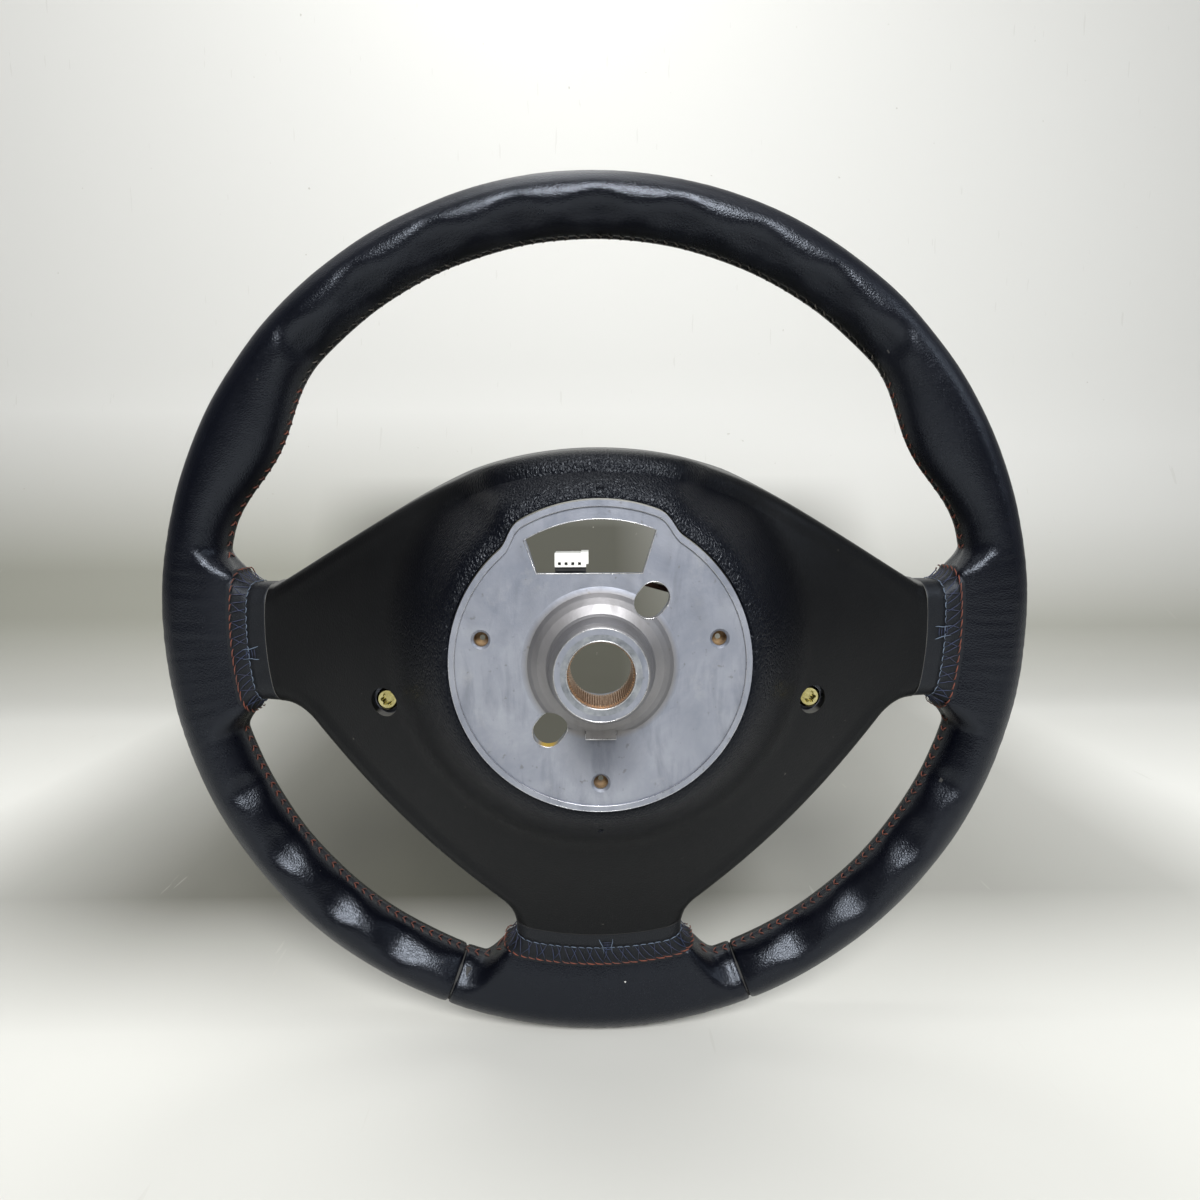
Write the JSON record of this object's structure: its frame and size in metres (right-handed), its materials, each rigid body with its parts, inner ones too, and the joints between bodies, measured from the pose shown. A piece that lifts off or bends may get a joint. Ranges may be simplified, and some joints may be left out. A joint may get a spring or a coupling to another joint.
{
  "type": "steering wheel",
  "caption": "Three-spoke leather-wrapped car steering wheel with a cast hub plate, splined boss, open airbag bay, captive module screws and sprung horn contacts",
  "frame": {"origin": "centre of the hub bore at the boss's rear face", "axes": "+Z to twelve o'clock, -Y towards the steering column, +Y towards the driver, +X to the right as seen from the column side"},
  "size_m": [0.38, 0.1153, 0.38],
  "materials": {
    "cast_alloy": "bare die casting",
    "bush_steel": "broached, oiled",
    "cover_skin": "grained moulded foam skin",
    "foam": "moulded polyurethane",
    "rim_hide": "smooth, worn to a low sheen",
    "flap_hide": "smooth, dry",
    "sleeve_steel": "zinc plated",
    "screw_zinc": "yellow zinc plated",
    "clip_steel": "phosphated",
    "socket_plastic": "natural",
    "spring_steel": "bright",
    "pin_brass": "plain",
    "plug_plastic": "white",
    "lead_sleeve": "black sleeve",
    "lead_brown": "brown insulation",
    "clip_plastic": "black"
  },
  "bodies": {
    "wheel": {"armature": "cast_alloy", "armature_boss": "cast_alloy", "armature_arms": "cast_alloy", "armature_ring": "cast_alloy", "spline_bush": "bush_steel", "hub_cover": "cover_skin", "rim_foam": "foam", "rim_leather": "rim_hide", "rim_leather_lower": "rim_hide", "root_flap_left": "flap_hide", "root_flap_right": "flap_hide", "root_flap_lower": "flap_hide", "screw_sleeve_left": "sleeve_steel", "screw_sleeve_right": "sleeve_steel", "contact_socket_left": "socket_plastic", "contact_socket_right": "socket_plastic", "contact_spring_left": "spring_steel", "contact_spring_right": "spring_steel", "connector_housing": "plug_plastic", "connector_contacts": "pin_brass", "connector_holder": "clip_plastic", "main_lead": "lead_sleeve", "horn_lead_left": "lead_brown", "horn_lead_right": "lead_brown", "lead_clips": "clip_plastic"},
    "screw_ring_left": {"screw_clip_left": "clip_steel"},
    "screw_left": {"airbag_screw_left": "screw_zinc"},
    "horn_pin_left": {"contact_pin_left": "pin_brass"},
    "screw_ring_right": {"screw_clip_right": "clip_steel"},
    "screw_right": {"airbag_screw_right": "screw_zinc"},
    "horn_pin_right": {"contact_pin_right": "pin_brass"}
  },
  "joints": [
    {"name": "screw_slide_left", "type": "slide", "parent": "wheel", "child": "screw_ring_left", "axis": [0, -1, 0], "range_m": [0, 0.005]},
    {"name": "screw_turn_left", "type": "hinge", "parent": "screw_ring_left", "child": "screw_left", "pos_m": [-0.0839, 0.06649, -0.023], "axis": [0, -1, 0], "continuous": true},
    {"name": "horn_contact_left", "type": "slide", "parent": "wheel", "child": "horn_pin_left", "axis": [0, -1, 0], "range_m": [0, 0.002], "stiffness_N_per_m": 900, "springref_m": -0.002, "deforming": ["contact_spring_left"]},
    {"name": "screw_slide_right", "type": "slide", "parent": "wheel", "child": "screw_ring_right", "axis": [0, -1, 0], "range_m": [0, 0.005]},
    {"name": "screw_turn_right", "type": "hinge", "parent": "screw_ring_right", "child": "screw_right", "pos_m": [0.0839, 0.06649, -0.023], "axis": [0, -1, 0], "continuous": true},
    {"name": "horn_contact_right", "type": "slide", "parent": "wheel", "child": "horn_pin_right", "axis": [0, -1, 0], "range_m": [0, 0.002], "stiffness_N_per_m": 900, "springref_m": -0.002, "deforming": ["contact_spring_right"]}
  ]
}
